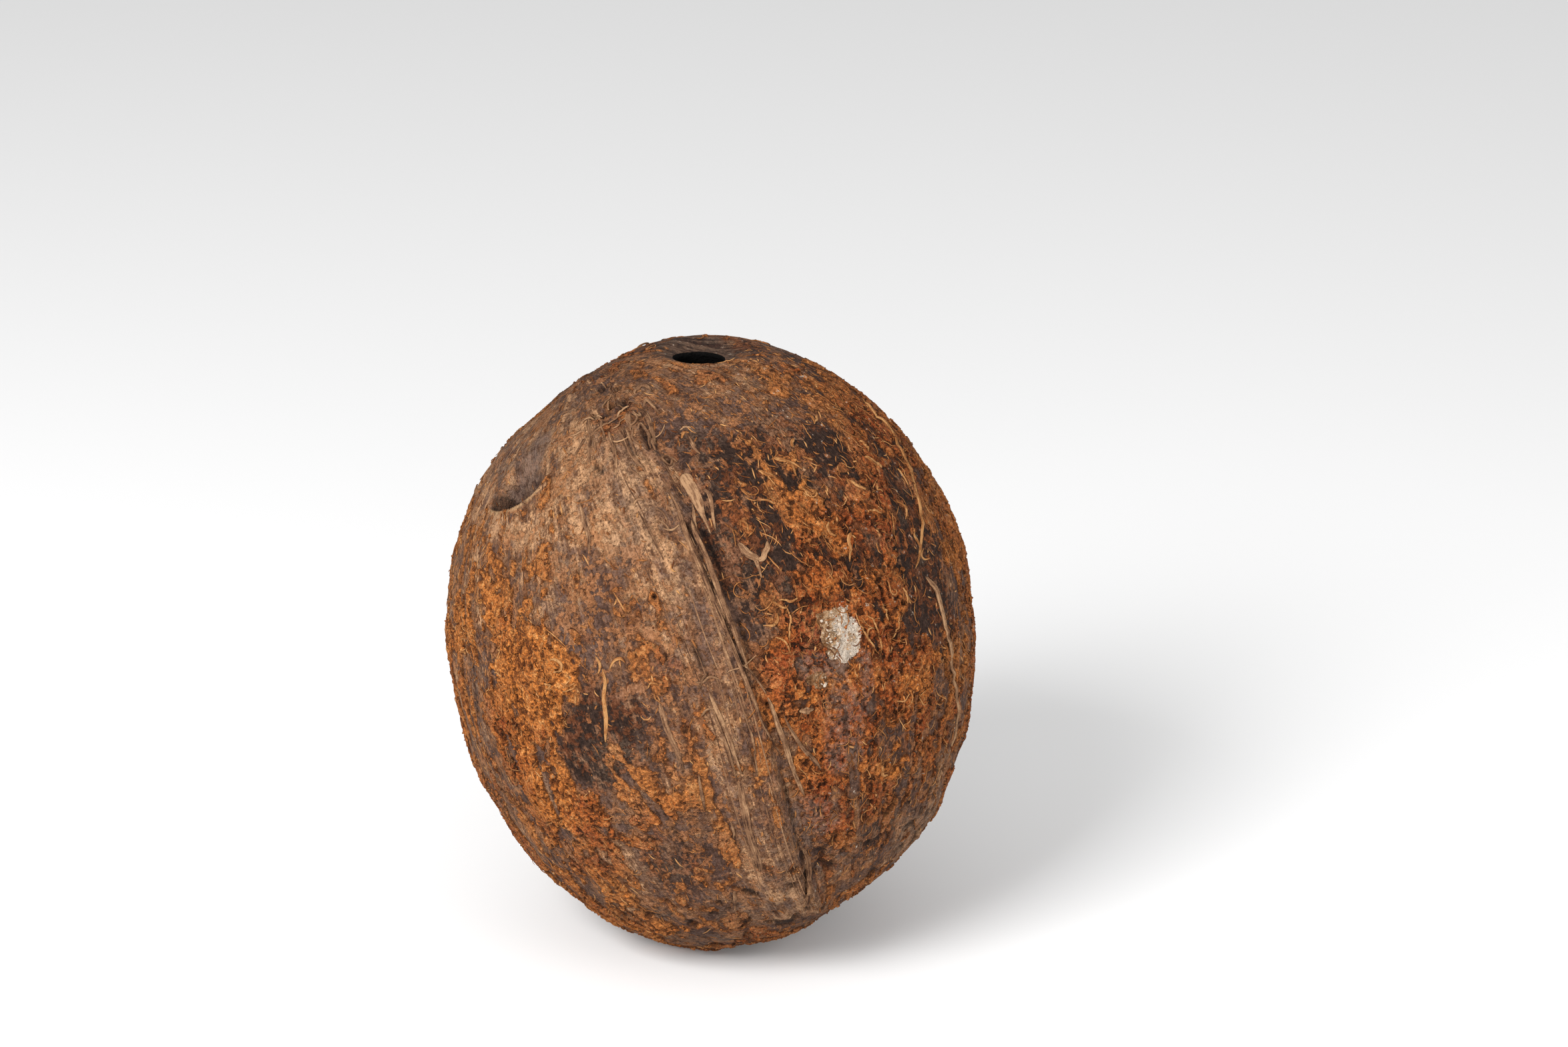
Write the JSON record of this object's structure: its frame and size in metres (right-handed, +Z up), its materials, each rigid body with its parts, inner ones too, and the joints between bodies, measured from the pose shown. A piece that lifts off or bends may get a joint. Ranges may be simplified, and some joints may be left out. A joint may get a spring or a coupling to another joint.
{
  "type": "husked coconut",
  "caption": "Egg-shaped husked brown coconut standing upright, with fibrous ridges, coarse husk remnants and an open eye at its top.",
  "frame": {"origin": "centre of the small flat spot under the nut that it stands on", "axes": "+Z up along the nut's height; -Y towards the front, where one ridge runs down the nut and leans to the right; the stem end is at the top, leaning to -X"},
  "size_m": [0.1097, 0.1111, 0.1277],
  "materials": {
    "shell": "dry, rough woody shell with clinging rust-brown husk",
    "husk_fibre": "dry matt plant fibre",
    "pith": "crumbly matt husk pith",
    "mould": "pale felted growth, fully matt"
  },
  "bodies": {
    "root": {"coconut": "shell"}
  },
  "joints": []
}
